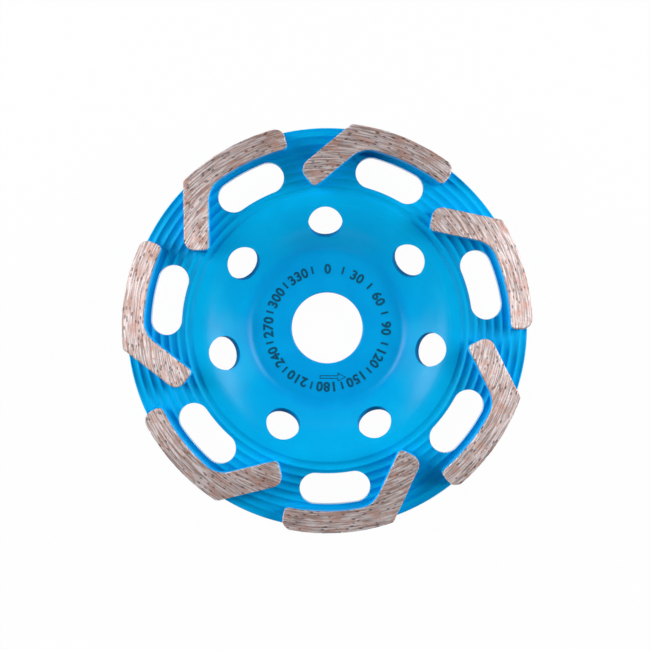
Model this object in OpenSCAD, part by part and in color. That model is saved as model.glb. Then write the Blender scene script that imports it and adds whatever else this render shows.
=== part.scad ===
// Diamond cup wheel for an angle grinder: a turned steel cup with a grooved
// ring, and bent diamond segments sintered onto the grooves.
// Millimetres. +Z points to the work, and the origin is the centre of the
// hub's rear face. Sector 0 starts on the +X axis and runs anticlockwise.

/* [Wheel] */
// Diameter over the diamond segments
wheel_d = 125; // [110:0.5:150]
// Segments round the wheel, with one slot and one vent each
sector_n = 7; // [4:1:8]
// Height of the groove crests above the hub's rear face
ring_h = 15; // [14:0.5:18]

/* [Hub] */
// Spindle bore
bore_d = 22.23; // [16:0.01:30]
// Thickness of the hub plate
hub_t = 5.5; // [4.5:0.1:7]
// Chamfer on both edges of the bore
bore_chamfer = 0.3; // [0.1:0.05:0.8]

/* [Dish] */
// Slope of the dish wall
dish_slope = 42; // [38:1:48]
// Wall thickness of the dish
dish_t = 2.5; // [2:0.1:3.5]
// Hollow radius where the hub turns up into the dish
root_r = 4.5; // [2:0.5:6]
// Round shoulder where the dish turns out into the ring
shoulder_r = 22; // [16:0.5:24]
// Round edge of the boss on the rear face
rear_edge_r = 4; // [2:0.5:5]
// Hollow radius behind the shoulder
rear_hollow_r = 8; // [5:0.5:9]

/* [Ring] */
// Thickness of the ring under the groove crests
ring_t = 4.2; // [3.5:0.1:5]
// How far the steel rim stands inside the segments
rim_inset = 0.95; // [0.5:0.05:2]
// Bevel on both edges of the rim
rim_bevel = 0.5; // [0.2:0.05:0.8]
// Width of the flat ring, from the rim to where the shoulder starts
ring_w = 18.4; // [16:0.05:19]
// Distance from the rim to the first groove crest
first_crest = 2.45; // [2:0.05:3]
// Distance from one groove crest to the next
groove_pitch = 2.57; // [2:0.01:3.2]
// Depth of the grooves
groove_depth = 0.45; // [0.2:0.05:0.6]
// Width of the flat left on each crest
crest_w = 0.3; // [0.1:0.05:0.5]
// Number of grooves
groove_n = 8; // [6:1:8]

/* [Segments] */
// Height of the segments above the groove crests
seg_h = 6.65; // [3:0.05:10]
// Width of the curved part along the rim
seg_arc_w = 6.7; // [5:0.1:7.5]
// Length of the curved part along the outer edge
seg_arc_len = 35.1; // [28:0.1:38]
// Width of the straight leg
seg_leg_w = 7.7; // [5:0.1:8.5]
// Length of the leg along its outer edge
seg_leg_len = 21.05; // [16:0.05:22]
// How far the leg turns in from the rim
seg_leg_turn = 46.3; // [40:0.1:50]
// Outer corners at both ends
seg_outer_corner_r = 3.2; // [1:0.1:3.3]
// Inner corners at both ends
seg_inner_corner_r = 1.5; // [0.5:0.1:2]
// Outer corner at the bend
seg_bend_r = 1.5; // [0.5:0.1:3]
// Hollow corner inside the bend
seg_crook_r = 8; // [3:0.5:10]

/* [Slots] */
// Width of the kidney slots
slot_w = 9.5; // [6:0.1:10]
// Length of a slot from end to end
slot_len = 21.8; // [16:0.1:22]
// Steel between a slot and the curved part of the segment outside it
slot_to_seg = 1.5; // [1:0.1:4]

/* [Vents] */
// Diameter of the round vents
vent_d = 10.6; // [6:0.1:12]
// Slope of the shoulder where a vent is drilled square to it
vent_slope = 29.2; // [26:0.1:34]
// Turn from a slot's middle to the next vent
vent_lead = 23.9; // [20:0.1:24]

/* [Hidden] */
$fn = 96;
pitch_a = 360 / sector_n;
round_steps = 12;
past = 1;

wheel_r = wheel_d / 2;
rim_r = wheel_r - rim_inset;
bore_r = bore_d / 2;

// The segment's leg lies between two parallel lines, at the distances leg_out
// and leg_in from the wheel's axis. Distances along the leg are counted from
// the point nearest to the axis, and the bend comes first.
seg_arc_a = seg_arc_len / wheel_r * 180 / PI;
seg_in_r = wheel_r - seg_arc_w;
leg_a = seg_arc_a + 90 + seg_leg_turn;
leg_out = wheel_r * cos(seg_leg_turn);
leg_in = leg_out - seg_leg_w;
leg_start = -wheel_r * sin(seg_leg_turn);
leg_end = leg_start + seg_leg_len;

// Corners of the dish section before they are rounded
ring_in_r = rim_r - ring_w;
ring_back = ring_h - ring_t;
front_top_r = ring_in_r - shoulder_r * tan(dish_slope / 2);
front_root_r = front_top_r - (ring_h - hub_t) / tan(dish_slope);
rear_root_r = front_root_r - hub_t / tan(dish_slope) + dish_t / sin(dish_slope);
rear_top_r = rear_root_r + ring_back / tan(dish_slope);

// A groove is an arc of this radius, a little narrower than the pitch
groove_half = (groove_pitch - crest_w) / 2;
groove_r = (groove_half * groove_half + groove_depth * groove_depth) / (2 * groove_depth);
groove_floor = ring_h - groove_depth;

slot_r = seg_in_r - slot_to_seg - slot_w / 2;
slot_half_a = (slot_len - slot_w) / 2 / slot_r * 180 / PI;
slot_mid_a = seg_arc_a / 2;
vent_a = slot_mid_a + vent_lead;

paint_blue = [0.0, 0.56, 0.83];
matrix_grey = [0.68, 0.61, 0.59];

function along(a, d) = [d * cos(a), d * sin(a)];

// Point of the leg: on the line at distance d from the wheel's axis, s along it
function on_leg(d, s) = along(leg_a - 90, d) + along(leg_a, s);

// Centre of the round of radius r that touches both sides of a corner. The
// sides leave the corner at angles a and b.
function round_centre(corner, a, b, r) =
    corner + along((a + b) / 2, r / sin(abs(b - a) / 2));

// Points along a round, from one angle to another
function round_points(centre, r, from, to) = [
    for (i = [0 : round_steps])
        centre + along(from + (to - from) * i / round_steps, r)
];

rear_edge_c = round_centre([rear_root_r, 0], dish_slope, 180, rear_edge_r);
rear_hollow_c = round_centre([rear_top_r, ring_back], dish_slope - 180, 0, rear_hollow_r);
shoulder_c = round_centre([front_top_r, ring_h], dish_slope - 180, 0, shoulder_r);
root_c = round_centre([front_root_r, hub_t], dish_slope, 180, root_r);

// Half section of the cup, with the hub at the left and the rim at the right
module cup_section() {
    difference() {
        polygon(concat(
            [[bore_r, bore_chamfer], [bore_r + bore_chamfer, 0]],
            round_points(rear_edge_c, rear_edge_r, -90, dish_slope - 90),
            round_points(rear_hollow_c, rear_hollow_r, dish_slope + 90, 90),
            [
                [rim_r - rim_bevel, ring_back],
                [rim_r, ring_back + rim_bevel],
                [rim_r, ring_h - rim_bevel],
                [rim_r - rim_bevel, ring_h]
            ],
            round_points(shoulder_c, shoulder_r, 90, dish_slope + 90),
            round_points(root_c, root_r, dish_slope - 90, -90),
            [[bore_r + bore_chamfer, hub_t], [bore_r, hub_t - bore_chamfer]]
        ));
        grooves_section();
    }
}

module grooves_section() {
    for (i = [0 : groove_n - 1])
        translate([rim_r - first_crest + (0.5 - i) * groove_pitch, groove_floor + groove_r])
            circle(groove_r);
}

module turned_cup() {
    rotate_extrude()
        cup_section();
}

// One kidney slot: a stretch of a ring with a round at each end
module slot_outline() {
    intersection() {
        difference() {
            circle(slot_r + slot_w / 2);
            circle(slot_r - slot_w / 2);
        }
        polygon([
            [0, 0],
            along(slot_mid_a - slot_half_a, 2 * slot_r),
            along(slot_mid_a + slot_half_a, 2 * slot_r)
        ]);
    }
    for (side = [-1, 1])
        translate(along(slot_mid_a + side * slot_half_a, slot_r))
            circle(slot_w / 2);
}

module slots() {
    translate([0, 0, ring_back - past])
        linear_extrude(ring_t + 2 * past)
            for (i = [0 : sector_n - 1])
                rotate(i * pitch_a)
                    slot_outline();
}

// The vent's axis passes through the centre of the shoulder's round
module vents() {
    for (i = [0 : sector_n - 1])
        rotate(i * pitch_a + vent_a)
            translate([shoulder_c[0], 0, shoulder_c[1]])
                rotate([0, -vent_slope, 0])
                    cylinder(r = vent_d / 2, h = shoulder_r + 3 * past);
}

module wheel_body() {
    color(paint_blue)
        difference() {
            turned_cup();
            slots();
            vents();
        }
}

// What lies outside a round of radius r about c, between directions a and b
module outside_round(c, r, a, b, reach) {
    difference() {
        polygon([
            c,
            c + along(a, reach),
            c + along((a + b) / 2, 1.2 * reach),
            c + along(b, reach)
        ]);
        translate(c)
            circle(r);
    }
}

function direction(p) = atan2(p[1], p[0]);

// Centre of a round of radius r that touches the X axis, at distance big from
// the wheel's axis
function round_on_start(big, r) = [sqrt(big * big - r * r), r];

// Centre of a round on the leg's line at distance d, and at distance big from
// the wheel's axis
function round_on_leg(d, big) = on_leg(d, -sqrt(big * big - d * d));

// Curved part, from the start face on the X axis to the bend
module seg_arc_outline() {
    outer_c = round_on_start(wheel_r - seg_outer_corner_r, seg_outer_corner_r);
    inner_c = round_on_start(seg_in_r + seg_inner_corner_r, seg_inner_corner_r);
    difference() {
        intersection() {
            difference() {
                circle(wheel_r);
                circle(seg_in_r);
            }
            polygon([[0, 0], [2 * wheel_r, 0], along(seg_arc_a, 2 * wheel_r)]);
        }
        outside_round(outer_c, seg_outer_corner_r, -90, direction(outer_c),
                      2 * seg_outer_corner_r);
        outside_round(inner_c, seg_inner_corner_r, -90, direction(inner_c) - 180,
                      2 * seg_inner_corner_r);
    }
}

// Straight leg, from the bend to its end face
module seg_leg_outline() {
    outer_c = on_leg(leg_out - seg_outer_corner_r, leg_end - seg_outer_corner_r);
    inner_c = on_leg(leg_in + seg_inner_corner_r, leg_end - seg_inner_corner_r);
    difference() {
        polygon([
            round_on_leg(leg_in, seg_in_r),
            on_leg(leg_out, leg_start),
            on_leg(leg_out, leg_end),
            on_leg(leg_in, leg_end)
        ]);
        outside_round(outer_c, seg_outer_corner_r, leg_a - 90, leg_a, 2 * seg_outer_corner_r);
        outside_round(inner_c, seg_inner_corner_r, leg_a, leg_a + 90, 2 * seg_inner_corner_r);
    }
}

module seg_outline() {
    bend_c = round_on_leg(leg_out - seg_bend_r, wheel_r - seg_bend_r);
    crook_c = round_on_leg(leg_in - seg_crook_r, seg_in_r - seg_crook_r);
    difference() {
        union() {
            seg_arc_outline();
            seg_leg_outline();
            outside_round(crook_c, seg_crook_r, direction(crook_c), leg_a - 90,
                          seg_crook_r + seg_arc_w / 2);
        }
        outside_round(bend_c, seg_bend_r, direction(bend_c), leg_a - 90, 2 * seg_bend_r);
    }
}

module segment(i) {
    color(matrix_grey)
        rotate(i * pitch_a)
            difference() {
                translate([0, 0, groove_floor])
                    linear_extrude(ring_h + seg_h - groove_floor)
                        seg_outline();
                turned_cup();
            }
}

wheel_body();
for (i = [1 : sector_n])
    segment(i - 1);
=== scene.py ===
# %% [markdown]
# # Dressing a diamond cup wheel
# The wheel is a shallow steel cup with bent diamond segments on its grooved
# ring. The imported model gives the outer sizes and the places. This notebook
# makes the finished surfaces around it: turned and painted steel, ground
# segments with their grit, and the etched marking on the hub.

# %% Load the frame
from math import acos, asin, atan2, cos, degrees, hypot, pi, radians, sin, sqrt, tan

import bpy
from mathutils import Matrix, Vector


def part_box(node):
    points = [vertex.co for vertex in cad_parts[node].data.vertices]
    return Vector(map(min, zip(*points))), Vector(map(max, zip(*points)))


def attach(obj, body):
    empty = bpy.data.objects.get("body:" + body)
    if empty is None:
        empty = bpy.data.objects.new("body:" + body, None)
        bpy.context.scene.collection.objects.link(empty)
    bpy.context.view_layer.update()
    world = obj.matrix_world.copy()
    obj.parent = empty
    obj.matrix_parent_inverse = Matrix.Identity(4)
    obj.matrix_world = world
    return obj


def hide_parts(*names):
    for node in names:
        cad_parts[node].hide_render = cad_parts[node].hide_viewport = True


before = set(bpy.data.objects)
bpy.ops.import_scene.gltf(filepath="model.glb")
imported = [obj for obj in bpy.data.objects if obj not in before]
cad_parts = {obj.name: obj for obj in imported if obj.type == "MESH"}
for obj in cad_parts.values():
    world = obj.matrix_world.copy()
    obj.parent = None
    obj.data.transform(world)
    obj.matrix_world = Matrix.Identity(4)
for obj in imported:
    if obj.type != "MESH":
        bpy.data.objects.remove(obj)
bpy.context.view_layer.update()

# %% [markdown]
# Sizes come in metres, so a millimetre is named once. The ring's height, the
# rim and the segments' top are read from the frame. The rest are the wheel's
# own driving sizes.

# %% Sizes of the wheel
MM = 0.001
SECTORS = 7
PITCH_A = 360 / SECTORS
RING_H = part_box("wheel_body")[1].z
RIM_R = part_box("wheel_body")[1].x
SEG_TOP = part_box("segment_1")[1].z
WHEEL_R = 62.5 * MM
BORE_R = 11.115 * MM
HUB_T = 5.5 * MM
BORE_CHAMFER = 0.3 * MM
print("ring", round(RING_H / MM, 2), "rim", round(RIM_R / MM, 2), "top", round(SEG_TOP / MM, 2))

# %% [markdown]
# The dish is a straight slope between two rounds, front and back. The slope
# and the radii place the four corners, and the rounds take them off.

# %% Sizes of the dish and the ring
SLOPE = 42
DISH_T = 2.5 * MM
ROOT_R = 4.5 * MM
SHOULDER_R = 22 * MM
REAR_EDGE_R = 4 * MM
REAR_HOLLOW_R = 8 * MM
RING_T = 4.2 * MM
RING_W = 18.4 * MM
RIM_BEVEL = 0.5 * MM
FIRST_CREST = 2.45 * MM
GROOVE_PITCH = 2.57 * MM
GROOVE_DEPTH = 0.45 * MM
CREST_W = 0.3 * MM
GROOVES = 8
GROOVE_HALF = (GROOVE_PITCH - CREST_W) / 2
GROOVE_R = (GROOVE_HALF ** 2 + GROOVE_DEPTH ** 2) / (2 * GROOVE_DEPTH)
print("groove radius in mm", round(GROOVE_R / MM, 3))

# %% [markdown]
# A segment follows the rim and then turns in along a straight leg. Points of
# the leg are counted from the foot of its own normal: `across` is the distance
# from the wheel's axis, and `along` runs down the leg.

# %% Sizes of a segment
SEG_ARC_W = 6.7 * MM
SEG_ARC_LEN = 35.1 * MM
SEG_LEG_W = 7.7 * MM
SEG_LEG_LEN = 21.05 * MM
SEG_LEG_TURN = 46.3
OUTER_CORNER_R = 3.2 * MM
INNER_CORNER_R = 1.5 * MM
BEND_R = 1.5 * MM
CROOK_R = 8 * MM
SEG_ARC_A = degrees(SEG_ARC_LEN / WHEEL_R)
SEG_IN_R = WHEEL_R - SEG_ARC_W
LEG_A = SEG_ARC_A + 90 + SEG_LEG_TURN
LEG_OUT = WHEEL_R * cos(radians(SEG_LEG_TURN))
LEG_IN = LEG_OUT - SEG_LEG_W
LEG_END = SEG_LEG_LEN - WHEEL_R * sin(radians(SEG_LEG_TURN))
print("segment bends at", round(SEG_ARC_A, 2), "degrees")


def polar(angle, distance):
    """The point at that angle in degrees and that distance from the axis."""
    return Vector((cos(radians(angle)), sin(radians(angle)))) * distance


def on_leg(across, along):
    return polar(LEG_A - 90, across) + polar(LEG_A, along)


# %% [markdown]
# Slots and vents repeat with the segments. A slot lies inside the curved part
# of each segment, and a vent is drilled square to the shoulder between slots.

# %% Sizes of the slots and vents
SLOT_W = 9.5 * MM
SLOT_LEN = 21.8 * MM
SLOT_TO_SEG = 1.5 * MM
VENT_R = 5.3 * MM
VENT_SLOPE = 29.2
VENT_LEAD = 23.9
SLOT_R = SEG_IN_R - SLOT_TO_SEG - SLOT_W / 2
SLOT_HALF_A = degrees((SLOT_LEN - SLOT_W) / 2 / SLOT_R)
SLOT_MID_A = SEG_ARC_A / 2
VENT_A = SLOT_MID_A + VENT_LEAD
RING_IN_R = RIM_R - RING_W
print("slot ring", round(SLOT_R / MM, 2), "shoulder starts at", round(RING_IN_R / MM, 2))

# %% [markdown]
# Blender's operators act on what is selected, and in edit mode on the active
# object. Two short helpers keep that in order.


# %% Helpers for picking and editing
def pick(piece):
    """Selects one piece alone and makes it active, in object mode."""
    if bpy.context.object and bpy.context.object.mode != "OBJECT":
        bpy.ops.object.mode_set(mode="OBJECT")
    bpy.ops.object.select_all(action="DESELECT")
    piece.select_set(True)
    bpy.context.view_layer.objects.active = piece


def edit(piece):
    """Opens one piece in edit mode with all of it selected."""
    pick(piece)
    bpy.ops.object.mode_set(mode="EDIT")
    bpy.ops.mesh.select_all(action="SELECT")


def apply_modifiers(piece):
    pick(piece)
    for modifier in list(piece.modifiers):
        bpy.ops.object.modifier_apply(modifier=modifier.name)


def triangles(piece):
    return sum(len(face.vertices) - 2 for face in piece.data.polygons)


# %% [markdown]
# A lathe part starts as its half section. One vertex is extruded from point to
# point along the outline, as a pencil would go, and rounds are short chords.


# %% Helpers for drawing an outline
def round_centre(corner, a, b, radius):
    """Centre of a round that touches both sides of a corner, which leave it at a and b."""
    return corner + polar((a + b) / 2, radius / sin(radians(abs(b - a) / 2)))


def round_points(centre, radius, start, end, steps):
    turns = [start + (end - start) * i / steps for i in range(steps + 1)]
    return [centre + polar(turn, radius) for turn in turns]


def trace(name, points):
    """A closed wire through the points, drawn by extruding one vertex."""
    bpy.ops.object.select_all(action="DESELECT")
    bpy.ops.mesh.primitive_plane_add(size=MM)
    wire = bpy.context.object
    wire.name = name
    edit(wire)
    bpy.ops.mesh.merge(type="CENTER")
    bpy.ops.transform.translate(value=points[0])
    for before, after in zip(points, points[1:]):
        bpy.ops.mesh.extrude_region_move(TRANSFORM_OT_translate={"value": after - before})
    bpy.ops.mesh.select_all(action="DESELECT")
    bpy.ops.object.mode_set(mode="OBJECT")
    for i in (0, len(points) - 1):
        wire.data.vertices[i].select = True
    bpy.ops.object.mode_set(mode="EDIT")
    bpy.ops.mesh.edge_face_add()
    bpy.ops.object.mode_set(mode="OBJECT")
    return wire


# %% [markdown]
# The section of the cup: rear face, back of the dish, back of the ring, bevelled
# rim, eight grooves from the rim inwards, shoulder, dish, hollow and hub face.
# The ring's top falls away where the shoulder starts, so a groove there ends
# where its own round meets the shoulder's.

# %% Half section of the cup
TAN_SLOPE = tan(radians(SLOPE))
ring_back = RING_H - RING_T
top_corner = Vector((RING_IN_R - SHOULDER_R * tan(radians(SLOPE / 2)), RING_H))
root_corner = Vector((top_corner.x - (RING_H - HUB_T) / TAN_SLOPE, HUB_T))
rear_corner = Vector((root_corner.x - HUB_T / TAN_SLOPE + DISH_T / sin(radians(SLOPE)), 0))
hollow_corner = Vector((rear_corner.x + ring_back / TAN_SLOPE, ring_back))
shoulder_c = round_centre(top_corner, SLOPE - 180, 0, SHOULDER_R)
root_c = round_centre(root_corner, SLOPE, 180, ROOT_R)
rear_edge_c = round_centre(rear_corner, SLOPE, 180, REAR_EDGE_R)
rear_hollow_c = round_centre(hollow_corner, SLOPE - 180, 0, REAR_HOLLOW_R)


def groove_centre(i):
    return Vector((RIM_R - FIRST_CREST + (0.5 - i) * GROOVE_PITCH,
                   RING_H - GROOVE_DEPTH + GROOVE_R))


def groove_edge(i, side):
    """Angle at which a groove's round meets the ring's flat top, or else the shoulder."""
    centre = groove_centre(i)
    if centre.x + side * GROOVE_HALF > RING_IN_R:
        return -90 + side * degrees(asin(GROOVE_HALF / GROOVE_R))
    way = shoulder_c - centre
    share = (GROOVE_R ** 2 - SHOULDER_R ** 2 + way.length ** 2) / (2 * GROOVE_R * way.length)
    return degrees(atan2(way.y, way.x)) + side * degrees(acos(share))


def groove_points(i, outer_angle):
    """One groove from its outer edge to its inner edge."""
    return round_points(groove_centre(i), GROOVE_R, outer_angle, groove_edge(i, -1), 8)


first_c = RIM_R - FIRST_CREST + 0.5 * GROOVE_PITCH
past_rim = (RIM_R - RIM_BEVEL - first_c - GROOVE_R + GROOVE_DEPTH) / GROOVE_R
rim_angle = degrees(asin(past_rim / sqrt(2))) - 45

section = [Vector((BORE_R, BORE_CHAMFER)), Vector((BORE_R + BORE_CHAMFER, 0))]
section += round_points(rear_edge_c, REAR_EDGE_R, -90, SLOPE - 90, 8)
section += round_points(rear_hollow_c, REAR_HOLLOW_R, SLOPE + 90, 90, 10)
section += [Vector((RIM_R - RIM_BEVEL, ring_back)), Vector((RIM_R, ring_back + RIM_BEVEL)),
            Vector((RIM_R, RING_H - RIM_BEVEL))]
section += groove_points(0, rim_angle)
for i in range(1, GROOVES):
    section += groove_points(i, groove_edge(i, 1))
last = section[-1] - shoulder_c
section += round_points(shoulder_c, SHOULDER_R, degrees(atan2(last.y, last.x)), SLOPE + 90, 18)[1:]
section += round_points(root_c, ROOT_R, SLOPE - 90, -90, 10)
section += [Vector((BORE_R + BORE_CHAMFER, HUB_T)), Vector((BORE_R, HUB_T - BORE_CHAMFER))]
print("section points", len(section))

# %% [markdown]
# Turning is the Spin operator: the section goes round the axis in even steps.
# Spin leaves the first and last section on each other, so they are merged, and
# the normals are made to point outwards. A narrow Bevel then rounds the crests
# and edges, because paint never leaves a knife edge.

# %% Turn the cup
TURN_STEPS = SECTORS * 36
EDGE_ROUND = 0.09 * MM
EDGE_ANGLE = 24
MERGE = 0.001 * MM
cup = trace("cup_body", [Vector((p.x, 0, p.y)) for p in section])
edit(cup)
bpy.ops.mesh.spin(steps=TURN_STEPS, angle=2 * pi, center=(0, 0, 0), axis=(0, 0, 1))
bpy.ops.mesh.select_all(action="SELECT")
bpy.ops.mesh.remove_doubles(threshold=MERGE)
bpy.ops.mesh.normals_make_consistent(inside=False)
bpy.ops.object.mode_set(mode="OBJECT")
bevel = cup.modifiers.new("soft_edges", "BEVEL")
bevel.width = EDGE_ROUND
bevel.segments = 2
bevel.limit_method = "ANGLE"
bevel.angle_limit = radians(EDGE_ANGLE)
apply_modifiers(cup)
print("turned cup", triangles(cup), "triangles")

# %% [markdown]
# The slots and vents are cut with tools, as on a milling machine. A slot's tool
# is a kidney: the traced outline is filled and pulled up. A vent's tool is a
# cylinder that starts at the centre of the shoulder's round and comes out
# square to the slope. Each is made once, copied for every sector and joined.

# %% Helpers for cutting
CUT_PAST = 2 * MM


def pull_up(outline, height):
    """Fills a flat outline and pulls it up into a closed block."""
    edit(outline)
    bpy.ops.mesh.edge_face_add()
    bpy.ops.mesh.extrude_region_move(TRANSFORM_OT_translate={"value": (0, 0, height)})
    bpy.ops.mesh.select_all(action="SELECT")
    bpy.ops.mesh.normals_make_consistent(inside=False)
    bpy.ops.object.mode_set(mode="OBJECT")


def copies_round(piece):
    """One copy of the piece for each sector, each with its own mesh."""
    copies = [piece]
    for i in range(1, SECTORS):
        pick(piece)
        bpy.ops.object.duplicate(linked=False)
        copy = bpy.context.object
        copy.rotation_euler.z = radians(i * PITCH_A)
        bpy.ops.object.transform_apply(location=True, rotation=True, scale=True)
        copies.append(copy)
    return copies


def join(pieces):
    pick(pieces[0])
    for piece in pieces:
        piece.select_set(True)
    bpy.ops.object.join()
    return bpy.context.object


def cut(piece, tool):
    modifier = piece.modifiers.new("cut", "BOOLEAN")
    modifier.operation = "DIFFERENCE"
    modifier.solver = "EXACT"
    modifier.object = tool
    apply_modifiers(piece)
    bpy.data.objects.remove(tool)


# %% Slots
slot_start = SLOT_MID_A - SLOT_HALF_A
slot_end = SLOT_MID_A + SLOT_HALF_A
origin = Vector((0, 0))
kidney = round_points(origin, SLOT_R + SLOT_W / 2, slot_start, slot_end, 14)
kidney += round_points(polar(slot_end, SLOT_R), SLOT_W / 2, slot_end, slot_end + 180, 32)[1:]
kidney += round_points(origin, SLOT_R - SLOT_W / 2, slot_end, slot_start, 14)[1:]
kidney += round_points(polar(slot_start, SLOT_R), SLOT_W / 2, slot_start + 180,
                       slot_start + 360, 32)[1:-1]
slot_tool = trace("slot_tool", [Vector((p.x, p.y, ring_back - CUT_PAST)) for p in kidney])
pull_up(slot_tool, RING_T + 2 * CUT_PAST)
slot_tools = join(copies_round(slot_tool))
print("slot tools", triangles(slot_tools), "triangles")

# %% Vents
VENT_SIDES = 72
vent_depth = SHOULDER_R + CUT_PAST
bpy.ops.object.select_all(action="DESELECT")
bpy.ops.mesh.primitive_cylinder_add(vertices=VENT_SIDES, radius=VENT_R, depth=vent_depth)
vent_tool = bpy.context.object
edit(vent_tool)
bpy.ops.transform.translate(value=(0, 0, vent_depth / 2))
bpy.ops.object.mode_set(mode="OBJECT")
vent_tool.location = (shoulder_c.x, 0, shoulder_c.y)
vent_tool.rotation_euler.y = radians(-VENT_SLOPE)
bpy.ops.object.transform_apply(location=True, rotation=True, scale=True)
vent_tool.rotation_euler.z = radians(VENT_A)
bpy.ops.object.transform_apply(location=True, rotation=True, scale=True)
vent_tools = join(copies_round(vent_tool))
cut(cup, join([slot_tools, vent_tools]))
print("cup with openings", triangles(cup), "triangles")

# %% [markdown]
# Faces that meet gently are shaded as one round surface. Rims of holes stay
# crisp, since their angle is over the limit.

# %% Finish the cup's mesh
SMOOTH_BELOW = 32
pick(cup)
bpy.ops.object.shade_smooth_by_angle(angle=radians(SMOOTH_BELOW))
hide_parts("wheel_body")
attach(cup, "root")
print(cup.name, "replaces wheel_body")

# %% [markdown]
# A segment is pressed powder, sintered on the ring and ground flat on top. Its
# outline is traced through all its rounds and pulled up from the groove floors.

# %% Outline of a segment
def direction(p):
    return degrees(atan2(p.y, p.x))


def round_on_start(distance, radius):
    """Centre of a round that touches the start face and the circle round it."""
    return Vector((sqrt(distance ** 2 - radius ** 2), radius))


def round_on_leg(across, distance):
    """Centre at that distance from the axis, on a line along the leg."""
    return on_leg(across, -sqrt(distance ** 2 - across ** 2))


start_outer_c = round_on_start(WHEEL_R - OUTER_CORNER_R, OUTER_CORNER_R)
start_inner_c = round_on_start(SEG_IN_R + INNER_CORNER_R, INNER_CORNER_R)
bend_c = round_on_leg(LEG_OUT - BEND_R, WHEEL_R - BEND_R)
crook_c = round_on_leg(LEG_IN - CROOK_R, SEG_IN_R - CROOK_R)
end_outer_c = on_leg(LEG_OUT - OUTER_CORNER_R, LEG_END - OUTER_CORNER_R)
end_inner_c = on_leg(LEG_IN + INNER_CORNER_R, LEG_END - INNER_CORNER_R)

outline = round_points(start_outer_c, OUTER_CORNER_R, -90, direction(start_outer_c), 10)
outline += round_points(origin, WHEEL_R, direction(start_outer_c), direction(bend_c), 40)[1:]
outline += round_points(bend_c, BEND_R, direction(bend_c), LEG_A - 90, 5)[1:]
outline += round_points(end_outer_c, OUTER_CORNER_R, LEG_A - 90, LEG_A, 12)
outline += round_points(end_inner_c, INNER_CORNER_R, LEG_A, LEG_A + 90, 8)
outline += round_points(crook_c, CROOK_R, LEG_A - 90, direction(crook_c), 12)
outline += round_points(origin, SEG_IN_R, direction(crook_c), direction(start_inner_c), 34)[1:]
outline += round_points(start_inner_c, INNER_CORNER_R, direction(start_inner_c) - 180, -90, 7)[1:]
print("segment outline points", len(outline))

# %% [markdown]
# The block is remeshed into even cells, so that its surface can be roughened.
# Remeshing also rounds its edges a little, as pressing and grinding do.

# %% One segment block
GROOVE_FLOOR = RING_H - GROOVE_DEPTH
CELL = 0.22 * MM
block = trace("segment_block", [Vector((p.x, p.y, GROOVE_FLOOR)) for p in outline])
pull_up(block, SEG_TOP - GROOVE_FLOOR)
remesh = block.modifiers.new("cells", "REMESH")
remesh.mode = "VOXEL"
remesh.voxel_size = CELL
apply_modifiers(block)
print("segment block", triangles(block), "triangles")
blocks = copies_round(block)

# %% [markdown]
# The blocks are roughened where they stand, so no two are alike. Grinding leaves
# long shallow scratches round the axis, and worn grains leave pits and bumps.
# The walls wave a little and their upper edges are chipped, but neither moves
# the ground face. The scratches follow a UV map, in which `u` runs round the
# wheel and `v` outwards. The other patterns follow the mesh's own coordinates.

# %% Helpers for a rough surface
def polar_map(piece, name, long, wide):
    """A UV map that counts streak lengths round the wheel and streak widths outwards."""
    mesh = piece.data
    layer = mesh.uv_layers.new(name=name)
    places = []
    for loop in mesh.loops:
        p = mesh.vertices[loop.vertex_index].co
        turn = atan2(p.y, p.x) % (2 * pi)
        places += [turn * WHEEL_R / long, hypot(p.x, p.y) / wide]
    layer.data.foreach_set("uv", places)


def noise_texture(name, size, low, high):
    """Clouds that are black below `low` and white above `high`."""
    texture = bpy.data.textures.new(name, "CLOUDS")
    texture.noise_scale = size
    texture.noise_basis = "ORIGINAL_PERLIN"
    texture.noise_depth = 1
    texture.use_color_ramp = True
    texture.color_ramp.elements[0].position = low
    texture.color_ramp.elements[0].color = (0, 0, 0, 1)
    texture.color_ramp.elements[1].position = high
    texture.color_ramp.elements[1].color = (1, 1, 1, 1)
    return texture


def roughen(piece, texture, strength, group, layer=None, way="NORMAL"):
    modifier = piece.modifiers.new(texture.name, "DISPLACE")
    modifier.texture = texture
    modifier.strength = strength
    modifier.mid_level = 0
    modifier.direction = way
    modifier.vertex_group = group
    modifier.texture_coords = "UV" if layer else "LOCAL"
    if layer:
        modifier.uv_layer = layer


def group_by_height(piece, name, low, high, flattest):
    """Weights that rise from 0 at the height `low` to 1 at `high`, where the
    surface faces up no more than `flattest`, and 1 is straight up."""
    group = piece.vertex_groups.new(name=name)
    for vertex in piece.data.vertices:
        weight = (vertex.co.z - low) / (high - low) if vertex.normal.z <= flattest else 0
        group.add([vertex.index], min(max(weight, 0), 1), "REPLACE")


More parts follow.
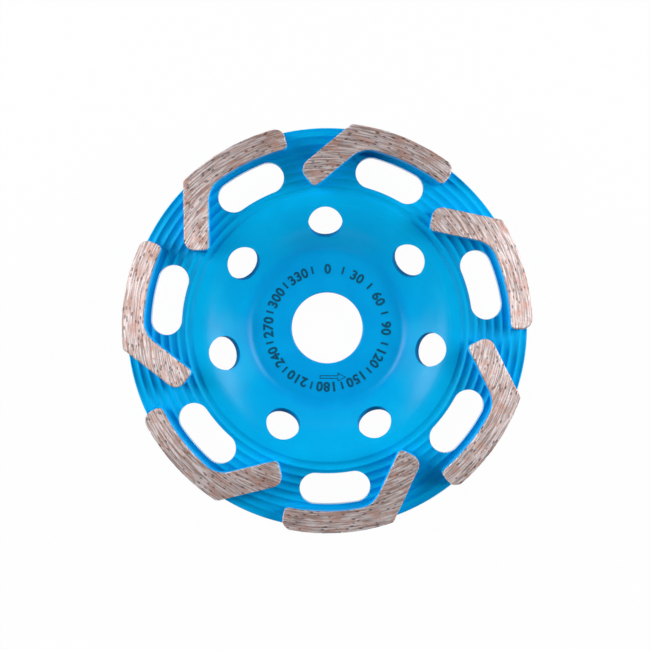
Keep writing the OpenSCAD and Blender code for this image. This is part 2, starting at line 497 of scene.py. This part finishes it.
# %% Roughen the segments
SCRATCH_LONG = 9 * MM
SCRATCH_WIDE = 0.36 * MM
ANY_FACE = 1.1
NOT_GROUND = 0.97
scratches = noise_texture("scratches", 1, 0.3, 0.7)
grain_pits = noise_texture("grain_pits", 0.42 * MM, 0.52, 0.74)
edge_chips = noise_texture("edge_chips", 0.9 * MM, 0.60, 0.72)
wall_waves = noise_texture("wall_waves", 1.6 * MM, 0.3, 0.7)
for i, piece in enumerate(blocks):
    piece.name = "ground_segment_%d" % (i + 1)
    polar_map(piece, "round_the_wheel", SCRATCH_LONG, SCRATCH_WIDE)
    group_by_height(piece, "top", SEG_TOP - 0.2 * MM, SEG_TOP - 0.05 * MM, ANY_FACE)
    group_by_height(piece, "walls", RING_H + 0.2 * MM, RING_H + 1.2 * MM, NOT_GROUND)
    group_by_height(piece, "edge", SEG_TOP - 1.2 * MM, SEG_TOP - 0.4 * MM, NOT_GROUND)
    roughen(piece, scratches, -0.02 * MM, "top", "round_the_wheel", "Z")
    roughen(piece, grain_pits, -0.05 * MM, "top", way="Z")
    roughen(piece, wall_waves, -0.07 * MM, "walls")
    roughen(piece, edge_chips, -0.30 * MM, "edge")
    apply_modifiers(piece)
    piece.data.uv_layers.remove(piece.data.uv_layers["round_the_wheel"])
    piece.vertex_groups.clear()
    print(piece.name, triangles(piece), "triangles")

# %% [markdown]
# Each block is seated last: a stretch of the grooved ring, spun from the same
# section, is cut out of its underside, so the two surfaces are counterparts.

# %% Seat the segments on the grooves
SEAT_LEAD = 3
SEAT_STEPS = 40
SEAT_OUTER_A = -40
ring_section = []
for i in range(GROOVES):
    ring_section += groove_points(i, groove_edge(i, 1) if i else SEAT_OUTER_A)
ring_section = [Vector((WHEEL_R + MM, ring_section[0].y))] + ring_section
ring_section += [Vector((ring_section[-1].x, ring_back)), Vector((WHEEL_R + MM, ring_back))]
print("ring section points", len(ring_section))
seat_tool = trace("seat_tool", [Vector((p.x, 0, p.y)) for p in ring_section])
pick(seat_tool)
seat_tool.rotation_euler.z = radians(-SEAT_LEAD)
bpy.ops.object.transform_apply(location=True, rotation=True, scale=True)
edit(seat_tool)
bpy.ops.mesh.edge_face_add()
bpy.ops.mesh.spin(steps=SEAT_STEPS, angle=-radians(PITCH_A + SEAT_LEAD),
                  center=(0, 0, 0), axis=(0, 0, 1))
bpy.ops.mesh.select_all(action="SELECT")
bpy.ops.mesh.normals_make_consistent(inside=False)
bpy.ops.object.mode_set(mode="OBJECT")
for piece, tool in zip(blocks, copies_round(seat_tool)):
    cut(piece, tool)
    print(piece.name, triangles(piece), "triangles when seated")

# %% [markdown]
# Node trees are easier to read when each node is added in one line with its
# values. Every pattern starts from Object coordinates, in metres, so that it
# keeps its real size and place on the wheel. A Mix node has sockets for each
# kind of data, and the numbers of those for colours are named here.

# %% Helpers for materials
NOISE_TILT = (0.7, 0.5, 0.3)
MIX_FIRST = 6
MIX_SECOND = 7
MIX_RESULT = 2


class Shader:
    """A material whose nodes are added one by one."""

    def __init__(self, name):
        self.material = bpy.data.materials.new(name)
        self.material.use_nodes = True
        self.tree = self.material.node_tree
        self.principled = self.tree.nodes["Principled BSDF"]
        self.place = self.add("ShaderNodeTexCoord").outputs["Object"]

    def add(self, kind, inputs=None, **settings):
        node = self.tree.nodes.new(kind)
        for name, value in settings.items():
            setattr(node, name, value)
        for name, value in (inputs or {}).items():
            self.feed(node.inputs[name], value)
        return node

    def feed(self, socket, value):
        """Links an output to the socket, or sets a plain value on it."""
        if isinstance(value, bpy.types.NodeSocket):
            self.tree.links.new(value, socket)
        else:
            socket.default_value = value

    def math(self, operation, *values):
        node = self.add("ShaderNodeMath", operation=operation)
        for i, value in enumerate(values):
            self.feed(node.inputs[i], value)
        return node.outputs[0]

    def vector(self, operation, *values):
        node = self.add("ShaderNodeVectorMath", operation=operation)
        for i, value in enumerate(values):
            self.feed(node.inputs[i], value)
        return node.outputs["Vector"]

    def noise(self, place, size, detail=2.0, roughness=0.5):
        """Noise on tilted axes, so that its grid doesn't line up with a flat face."""
        tilted = self.add("ShaderNodeVectorRotate", {"Vector": place, "Rotation": NOISE_TILT},
                          rotation_type="EULER_XYZ").outputs["Vector"]
        node = self.add("ShaderNodeTexNoise", {"Vector": tilted, "Scale": 1 / size,
                                               "Detail": detail, "Roughness": roughness})
        return node.outputs["Fac"]

    def cells(self, place, size):
        """Grains of that size: a node with the distance from the nearest and its colour."""
        return self.add("ShaderNodeTexVoronoi", {"Vector": place, "Scale": 1 / size})

    def ramp(self, value, low, high):
        """0 at `low` and 1 at `high`, smooth in between. `low` may be the higher one."""
        node = self.add("ShaderNodeMapRange", interpolation_type="SMOOTHSTEP")
        self.feed(node.inputs["Value"], value)
        node.inputs["From Min"].default_value = low
        node.inputs["From Max"].default_value = high
        return node.outputs["Result"]

    def mix(self, share, first, second):
        node = self.add("ShaderNodeMix", data_type="RGBA")
        self.feed(node.inputs["Factor"], share)
        self.feed(node.inputs[MIX_FIRST], first)
        self.feed(node.inputs[MIX_SECOND], second)
        return node.outputs[MIX_RESULT]

    def bump(self, height, distance, strength, below=None):
        node = self.add("ShaderNodeBump", {"Height": height, "Strength": strength,
                                           "Distance": distance})
        if below:
            self.feed(node.inputs["Normal"], below)
        return node.outputs["Normal"]

    def streaks(self, long, wide):
        """Coordinates for noise in long streaks round the wheel's axis."""
        flat = self.vector("MULTIPLY", self.place, (1, 1, 0))
        turn = self.vector("NORMALIZE", flat)
        reach = self.add("ShaderNodeVectorMath", {0: flat}, operation="LENGTH")
        round_way = self.add("ShaderNodeVectorMath", {0: turn, "Scale": WHEEL_R / long},
                             operation="SCALE").outputs["Vector"]
        out_way = self.math("MULTIPLY", reach.outputs["Value"], 1 / wide)
        out_vector = self.add("ShaderNodeCombineXYZ", {"Z": out_way}).outputs["Vector"]
        return self.vector("ADD", round_way, out_vector)


def srgb(r, g, b):
    """A colour as a screen shows it, from 0 to 255, turned into the light it stands for."""
    parts = [c / 255 for c in (r, g, b)]
    return [c / 12.92 if c < 0.04045 else ((c + 0.055) / 1.055) ** 2.4 for c in parts] + [1]


# %% [markdown]
# The steel is turned and then painted. The paint is satin and thin: a slow
# drift of shade, a lighter and greener colour off the hub, which is painted
# light for the light that the dish's slopes catch, a few darker specks, faint
# turning marks that show through, and the skin of fine waves that sprayed paint
# dries with. The grooved ring is duller than the smooth dish, so it is rougher
# there and its shine is lower.

# %% Satin blue paint
DISH_ROUGH = 0.16
DRIFT_ROUGH = 0.08
RING_ROUGH = 0.14
DISH_SHINE = 0.36
RING_SHINE = -0.28
paint = Shader("satin_paint")
drift = paint.noise(paint.place, 14 * MM, 3.0)
turned = paint.noise(paint.streaks(60 * MM, 0.5 * MM), 1, 2.0)
speck = paint.noise(paint.place, 0.5 * MM, 1.0)
height = paint.add("ShaderNodeSeparateXYZ", {0: paint.place}).outputs["Z"]
off_hub = paint.ramp(height, HUB_T + 0.3 * MM, HUB_T + 2.5 * MM)
on_hub = paint.mix(paint.ramp(drift, 0.35, 0.65), srgb(0, 151, 216), srgb(0, 159, 221))
# Off the hub the colour is lighter and greener than on it: painted light, for the light that the
# dish's slopes catch.
off_hub_painted_light = paint.mix(paint.ramp(drift, 0.35, 0.65), srgb(0, 158, 214), srgb(0, 165, 219))
shade = paint.mix(off_hub, on_hub, off_hub_painted_light)
shade = paint.mix(paint.math("MULTIPLY", paint.ramp(speck, 0.62, 0.75), 0.10), shade,
                  srgb(0, 122, 186))
paint.feed(paint.principled.inputs["Base Color"], shade)
dull_ring = paint.ramp(height, RING_H - 1.0 * MM, RING_H - 0.4 * MM)
rough = paint.math("MULTIPLY_ADD", drift, DRIFT_ROUGH, DISH_ROUGH)
rough = paint.math("MULTIPLY_ADD", dull_ring, RING_ROUGH, rough)
paint.feed(paint.principled.inputs["Roughness"], rough)
paint.feed(paint.principled.inputs["Specular IOR Level"],
           paint.math("MULTIPLY_ADD", dull_ring, RING_SHINE, DISH_SHINE))
waves = paint.noise(paint.place, 0.7 * MM, 2.0)
skin = paint.bump(waves, 0.035 * MM, 0.9)
skin = paint.bump(turned, 0.012 * MM, 0.5, skin)
paint.feed(paint.principled.inputs["Normal"], skin)
cup.data.materials.clear()
cup.data.materials.append(paint.material)
print("paint nodes", len(paint.tree.nodes))

# %% [markdown]
# The vents' walls are blue near the front and turn darker further down. That
# darkening with depth is painted shade, for the shade inside the holes. The
# deeper coat is also rough, with the steel showing through in specks. Depth is
# counted along the drill's axis, which starts at the centre of the shoulder's
# round. The walls' faces are found by their distance from that axis.

# %% Painted shade in the vents
thin = Shader("vent_paint_with_painted_shade")
flat_place = thin.vector("MULTIPLY", thin.place, (1, 1, 0))
reach = thin.add("ShaderNodeVectorMath", {0: flat_place}, operation="LENGTH").outputs["Value"]
rise = thin.add("ShaderNodeSeparateXYZ", {0: thin.place}).outputs["Z"]
inwards = thin.math("MULTIPLY", thin.math("SUBTRACT", shoulder_c.x, reach),
                    sin(radians(VENT_SLOPE)))
upwards = thin.math("MULTIPLY", thin.math("SUBTRACT", rise, shoulder_c.y),
                    cos(radians(VENT_SLOPE)))
depth = thin.math("SUBTRACT", SHOULDER_R, thin.math("ADD", inwards, upwards))
patch = thin.noise(thin.place, 0.7 * MM, 3.0, 0.6)
# Deeper in the vent the colour turns darker: painted shade inside the hole, with greyer specks.
deep_painted_shade = thin.mix(thin.ramp(patch, 0.35, 0.7), srgb(0, 128, 196), srgb(30, 122, 166))
ragged_depth = thin.math("MULTIPLY_ADD", patch, 0.6 * MM, depth)
thin.feed(thin.principled.inputs["Base Color"],
          thin.mix(thin.ramp(ragged_depth, 1.1 * MM, 2.3 * MM), srgb(0, 140, 205), deep_painted_shade))
thin.principled.inputs["Roughness"].default_value = 0.7
thin.principled.inputs["Specular IOR Level"].default_value = 0.05
thin.feed(thin.principled.inputs["Normal"], thin.bump(patch, 0.05 * MM, 0.6))
cup.data.materials.append(thin.material)
print("thin paint nodes", len(thin.tree.nodes))

# %% Walls of the vents
WALL_GAP = 0.03 * MM
VENT_HALF_A = 15
drill = Vector((-sin(radians(VENT_SLOPE)), 0, cos(radians(VENT_SLOPE))))
vent_wall_faces = 0
for face in cup.data.polygons:
    turn = (direction(face.center) - VENT_A + PITCH_A / 2) % PITCH_A - PITCH_A / 2
    distance = hypot(face.center.x, face.center.y)
    spot = Vector((distance * cos(radians(turn)) - shoulder_c.x,
                   distance * sin(radians(turn)), face.center.z - shoulder_c.y))
    off_wall = (spot - drill * spot.dot(drill)).length - VENT_R
    if abs(off_wall) < WALL_GAP and abs(turn) < VENT_HALF_A:
        face.material_index = 1
        vent_wall_faces += 1
print("faces of the vents' walls", vent_wall_faces)

# %% [markdown]
# The segments' tops show the ground matrix: pale metal between darker grains,
# in streaks round the axis. Their walls took the same paint, which ends in a
# ragged line just below the ground face. Grinding lines stretch a highlight
# across themselves, and Anisotropic gives that, with the tangent outwards.

# %% Colours of the ground diamond matrix
matrix = Shader("ground_matrix")
height = matrix.add("ShaderNodeSeparateXYZ", {0: matrix.place}).outputs["Z"]
streak = matrix.noise(matrix.streaks(7 * MM, 0.4 * MM), 1, 2.0, 0.55)
metal = matrix.mix(matrix.ramp(streak, 0.34, 0.66), srgb(152, 131, 126), srgb(234, 222, 222))
blotch = matrix.noise(matrix.streaks(5 * MM, 2.4 * MM), 1, 2.0)
metal = matrix.mix(matrix.math("MULTIPLY", matrix.ramp(blotch, 0.45, 0.68), 0.6), metal,
                   srgb(190, 140, 122))
tint = matrix.noise(matrix.place, 0.6 * MM, 1.0)
metal = matrix.mix(matrix.math("MULTIPLY", matrix.ramp(tint, 0.56, 0.68), 0.45), metal,
                   srgb(214, 150, 132))
metal = matrix.mix(matrix.math("MULTIPLY", matrix.ramp(tint, 0.44, 0.32), 0.4), metal,
                   srgb(176, 190, 194))
grit = matrix.cells(matrix.streaks(2.3 * MM, 0.85 * MM), 1)
grit_kind = matrix.add("ShaderNodeSeparateColor", {0: grit.outputs["Color"]})
grain = matrix.noise(matrix.place, 0.36 * MM, 2.0, 0.6)
grit_edge = matrix.math("MULTIPLY_ADD", grain, 0.30, grit.outputs["Distance"])
grit_share = matrix.math("MULTIPLY", matrix.ramp(grit_edge, 0.50, 0.36),
                         matrix.ramp(grit_kind.outputs["Red"], 0.30, 0.50))
metal = matrix.mix(matrix.math("MULTIPLY", grit_share, 0.75), metal, srgb(88, 70, 66))
# Darker where the surface lies below the ground face, in pits and chipped edges: painted shade in
# the hollows.
sunk_painted_shade = matrix.ramp(height, SEG_TOP - 0.10 * MM, SEG_TOP - 0.30 * MM)
metal = matrix.mix(matrix.math("MULTIPLY", sunk_painted_shade, 0.6), metal, srgb(104, 82, 74))
print("nodes for the metal's colour", len(matrix.tree.nodes))

# %% Ragged end of the walls' paint
PAINT_ENDS = 0.95 * MM
PAINT_RAGGED = 0.9 * MM
ragged = matrix.noise(matrix.place, 0.8 * MM, 3.0, 0.6)
paint_line = matrix.math("MULTIPLY_ADD", ragged, PAINT_RAGGED, SEG_TOP - PAINT_ENDS)
bare = matrix.ramp(matrix.math("SUBTRACT", height, paint_line), -0.03 * MM, 0.05 * MM)
matrix.feed(matrix.principled.inputs["Base Color"],
            matrix.mix(bare, srgb(0, 158, 220), metal))
matrix.feed(matrix.principled.inputs["Metallic"], matrix.math("MULTIPLY", bare, 0.6))
matrix.feed(matrix.principled.inputs["Roughness"],
            matrix.math("MULTIPLY_ADD", grain, 0.12, 0.40))
print("nodes with the paint", len(matrix.tree.nodes))

# %% Stretched highlight and fine relief
outwards = matrix.vector("NORMALIZE", matrix.vector("MULTIPLY", matrix.place, (1, 1, 0)))
matrix.feed(matrix.principled.inputs["Tangent"], outwards)
matrix.principled.inputs["Anisotropic"].default_value = 0.88
fine = matrix.noise(matrix.place, 0.25 * MM, 3.0, 0.7)
relief = matrix.bump(fine, 0.03 * MM, 0.25)
relief = matrix.bump(streak, 0.10 * MM, 0.7, relief)
matrix.feed(matrix.principled.inputs["Normal"], relief)
print("nodes with the relief", len(matrix.tree.nodes))

# %% Finish on the segments
for piece in blocks:
    piece.data.materials.clear()
    piece.data.materials.append(matrix.material)
    pick(piece)
    bpy.ops.object.shade_smooth()
    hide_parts("segment_%d" % (blocks.index(piece) + 1))
    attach(piece, "root")
print("finished segments", len(blocks))

# %% [markdown]
# The hub carries a plain dial of degrees in dark etched marks, with a tick
# between each two numbers. Each digit is a text of its own, made a mesh and
# turned to its place, so that the row bends with the hub. DIGIT_SHARE is a
# digit's height as a share of the font's size.

# %% Dial on the hub
MARK_H = 3.0 * MM
MARK_T = 0.02 * MM
MARK_BASE_R = 17.1 * MM
DIGIT_STEP = 2.25 * MM
DIGIT_SHARE = 0.73
DIGIT_BOLD = 0.17 * MM
TICK_W = 0.62 * MM
TICK_L = 0.8 * MARK_H
NUMBER_STEP = 30


def settle(piece, angle):
    """Turns a mark that was made above the axis to its angle on the dial."""
    pick(piece)
    bpy.ops.object.transform_apply(location=True, rotation=True, scale=True)
    piece.rotation_euler.z = radians(angle - 90)
    bpy.ops.object.transform_apply(location=True, rotation=True, scale=True)


def digit_mark(text, angle):
    bpy.ops.object.select_all(action="DESELECT")
    bpy.ops.object.text_add()
    mark = bpy.context.object
    mark.data.body = text
    mark.data.align_x = "CENTER"
    mark.data.size = MARK_H / DIGIT_SHARE
    mark.data.extrude = MARK_T
    mark.data.offset = DIGIT_BOLD
    mark.data.resolution_u = 4
    bpy.ops.object.convert(target="MESH")
    mark = bpy.context.object
    mark.location = (0, MARK_BASE_R, HUB_T)
    settle(mark, angle)
    return mark


def tick_mark(angle):
    bpy.ops.object.select_all(action="DESELECT")
    bpy.ops.mesh.primitive_cube_add(size=1, location=(0, MARK_BASE_R + MARK_H / 2, HUB_T),
                                    scale=(TICK_W, TICK_L, 2 * MARK_T))
    mark = bpy.context.object
    settle(mark, angle)
    return mark


marks = []
digit_turn = degrees(DIGIT_STEP / (MARK_BASE_R + MARK_H / 2))
for number in range(0, 360, NUMBER_STEP):
    text = str(number)
    middle = 90 - number
    for i, letter in enumerate(text):
        shift = (len(text) - 1) / 2 - i
        marks.append(digit_mark(letter, middle + shift * digit_turn))
    marks.append(tick_mark(middle - NUMBER_STEP / 2))
print("dial marks", len(marks))

# %% [markdown]
# An outlined arrow shows which way the wheel turns. Its outline is traced and
# filled, and Inset leaves the line round it when the middle is deleted.

# %% Arrow on the hub
ARROW_AT = Vector((1.9 * MM, -15.4 * MM))
ARROW_L = 8.3 * MM
ARROW_H = 2.9 * MM
ARROW_HEAD = 2.7 * MM
ARROW_LINE = 0.28 * MM
half_l = ARROW_L / 2
half_h = ARROW_H / 2
neck = half_l - ARROW_HEAD
shaft = 0.55 * MM
arrow_points = [(-half_l, -shaft), (neck, -shaft), (neck, -half_h), (half_l, 0),
                (neck, half_h), (neck, shaft), (-half_l, shaft)]
arrow = trace("turning_arrow", [Vector((x, y, 0)) + ARROW_AT.to_3d() for x, y in arrow_points])
edit(arrow)
bpy.ops.mesh.edge_face_add()
bpy.ops.mesh.inset(thickness=ARROW_LINE)
bpy.ops.mesh.delete(type="ONLY_FACE")
bpy.ops.mesh.select_all(action="SELECT")
bpy.ops.mesh.extrude_region_move(TRANSFORM_OT_translate={"value": (0, 0, MARK_T)})
bpy.ops.mesh.select_all(action="SELECT")
bpy.ops.transform.translate(value=(0, 0, HUB_T))
bpy.ops.mesh.normals_make_consistent(inside=False)
bpy.ops.object.mode_set(mode="OBJECT")
marks.append(arrow)
marking = join(marks)
marking.name = "hub_marking"
print("hub marking", triangles(marking), "triangles")

# %% [markdown]
# A laser burns the marks into the paint. They are darker and duller than the
# coat round them, with a fine grain, so that they don't look printed on.

# %% Etched marking
etched = Shader("etched_marking")
burn = etched.noise(etched.place, 0.28 * MM, 2.0)
etched.feed(etched.principled.inputs["Base Color"],
            etched.mix(etched.ramp(burn, 0.35, 0.7), srgb(0, 62, 86), srgb(4, 96, 132)))
etched.principled.inputs["Roughness"].default_value = 0.55
etched.principled.inputs["Specular IOR Level"].default_value = 0.25
etched.feed(etched.principled.inputs["Normal"], etched.bump(burn, 0.02 * MM, 0.5))
marking.data.materials.clear()
marking.data.materials.append(etched.material)
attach(marking, "root")
print("etched nodes", len(etched.tree.nodes))

# %% [markdown]
# The photograph is cut out on white. The floor is a plain white sheet, and for
# the camera and for mirror-like rays most of its white is its own, so that only
# a faint shadow is left on it.

# %% Floor
FLOOR_SIZE = 6
FLOOR_DROP = 0.02 * MM
OWN_WHITE = 0.975
bpy.ops.object.select_all(action="DESELECT")
bpy.ops.mesh.primitive_plane_add(size=FLOOR_SIZE, location=(0, 0, -FLOOR_DROP))
floor = bpy.context.object
floor.name = "floor"
sheet = Shader("white_sheet")
sheet.principled.inputs["Base Color"].default_value = (0.6, 0.6, 0.6, 1)
sheet.principled.inputs["Roughness"].default_value = 0.8
seen = sheet.add("ShaderNodeLightPath")
shown = sheet.math("MAXIMUM", seen.outputs["Is Camera Ray"], seen.outputs["Is Glossy Ray"])
shown = sheet.math("MAXIMUM", shown, seen.outputs["Is Transmission Ray"])
own_white = sheet.add("ShaderNodeEmission", {"Color": (1, 1, 1, 1), "Strength": 1.0})
blend = sheet.add("ShaderNodeMixShader", {0: sheet.math("MULTIPLY", shown, OWN_WHITE)})
sheet.feed(blend.inputs[1], sheet.principled.outputs[0])
sheet.feed(blend.inputs[2], own_white.outputs[0])
sheet.feed(sheet.tree.nodes["Material Output"].inputs["Surface"], blend.outputs[0])
floor.data.materials.append(sheet.material)
print("floor", FLOOR_SIZE, "m wide")

# %% [markdown]
# Two boxes high at the sides, a little towards the top of the picture, give the
# paint its soft highlights. Wide lamps lower down and at both ends light the
# slopes evenly. They are hidden from glossy rays, as lamps behind a diffuser
# are, so that nothing else veils the paint. Bare metal shows little but what it
# mirrors, so two more boxes, the gleams, reach the segments alone, which a
# receiver collection names.

# %% Lights
def soft_box(name, angle, height, distance, size, level, in_gloss):
    """A lamp that lights a white face turned to it at that level, where 1 is full white."""
    lamp = bpy.data.objects.new(name, bpy.data.lights.new(name, "AREA"))
    bpy.context.scene.collection.objects.link(lamp)
    lamp.data.shape = "RECTANGLE"
    lamp.data.size = size[0]
    lamp.data.size_y = size[1]
    lamp.data.energy = level * (pi * distance) ** 2
    side = polar(angle, distance * cos(radians(height)))
    lamp.location = (side.x, side.y, distance * sin(radians(height)))
    lamp.rotation_euler = (-lamp.location).to_track_quat("-Z", "Y").to_euler()
    lamp.visible_glossy = in_gloss
    return lamp


BOX_SIZE = (0.32, 0.34)
TALL_SIZE = (0.5, 0.56)
END_SIZE = (0.9, 0.3)
GLEAM_SIZE = (0.4, 0.3)
soft_box("right_box", 17, 50, 0.75, BOX_SIZE, 0.17, True)
soft_box("left_box", 162, 50, 0.75, BOX_SIZE, 0.17, True)
soft_box("right_low", 14, 22, 0.80, TALL_SIZE, 1.19, False)
soft_box("left_low", 166, 22, 0.80, TALL_SIZE, 1.21, False)
soft_box("far_fill", 90, 22, 0.90, END_SIZE, 0.14, False)
soft_box("near_fill", 270, 22, 0.90, END_SIZE, 0.22, False)
ground_metal = bpy.data.collections.new("ground_metal")
for piece in blocks:
    ground_metal.objects.link(piece)
for name, angle in (("right_gleam", 17), ("left_gleam", 158)):
    gleam = soft_box(name, angle, 45, 0.75, GLEAM_SIZE, 0.30, True)
    gleam.light_linking.receiver_collection = ground_metal
print("lamps", len(bpy.data.lights))

# %% Light of the room
ROOM_LEVEL = 0.04
world = bpy.data.worlds.new("room")
bpy.context.scene.world = world
world.use_nodes = True
world.node_tree.nodes["Background"].inputs["Color"].default_value = (1, 1, 1, 1)
world.node_tree.nodes["Background"].inputs["Strength"].default_value = ROOM_LEVEL
bpy.context.scene.view_settings.view_transform = "Standard"
print("light of the room", ROOM_LEVEL)

# %% [markdown]
# The camera looks straight down on the wheel, from just over half a metre. Its
# small shift puts the wheel where it lies in the photograph.

# %% Camera
CAMERA_Z = 0.550
PICTURE_PX = 650
camera = bpy.data.objects.new("camera", bpy.data.cameras.new("camera"))
bpy.context.scene.collection.objects.link(camera)
bpy.context.scene.camera = camera
camera.location = (0, 0, CAMERA_Z)
camera.rotation_euler = (0, 0, radians(0.45))
camera.data.lens = 96.3
camera.data.sensor_width = 36
camera.data.shift_x = -2.2 / PICTURE_PX
camera.data.shift_y = 2.85 / PICTURE_PX
camera.data.clip_start = 0.01
print("camera", CAMERA_Z, "m up, lens", camera.data.lens)
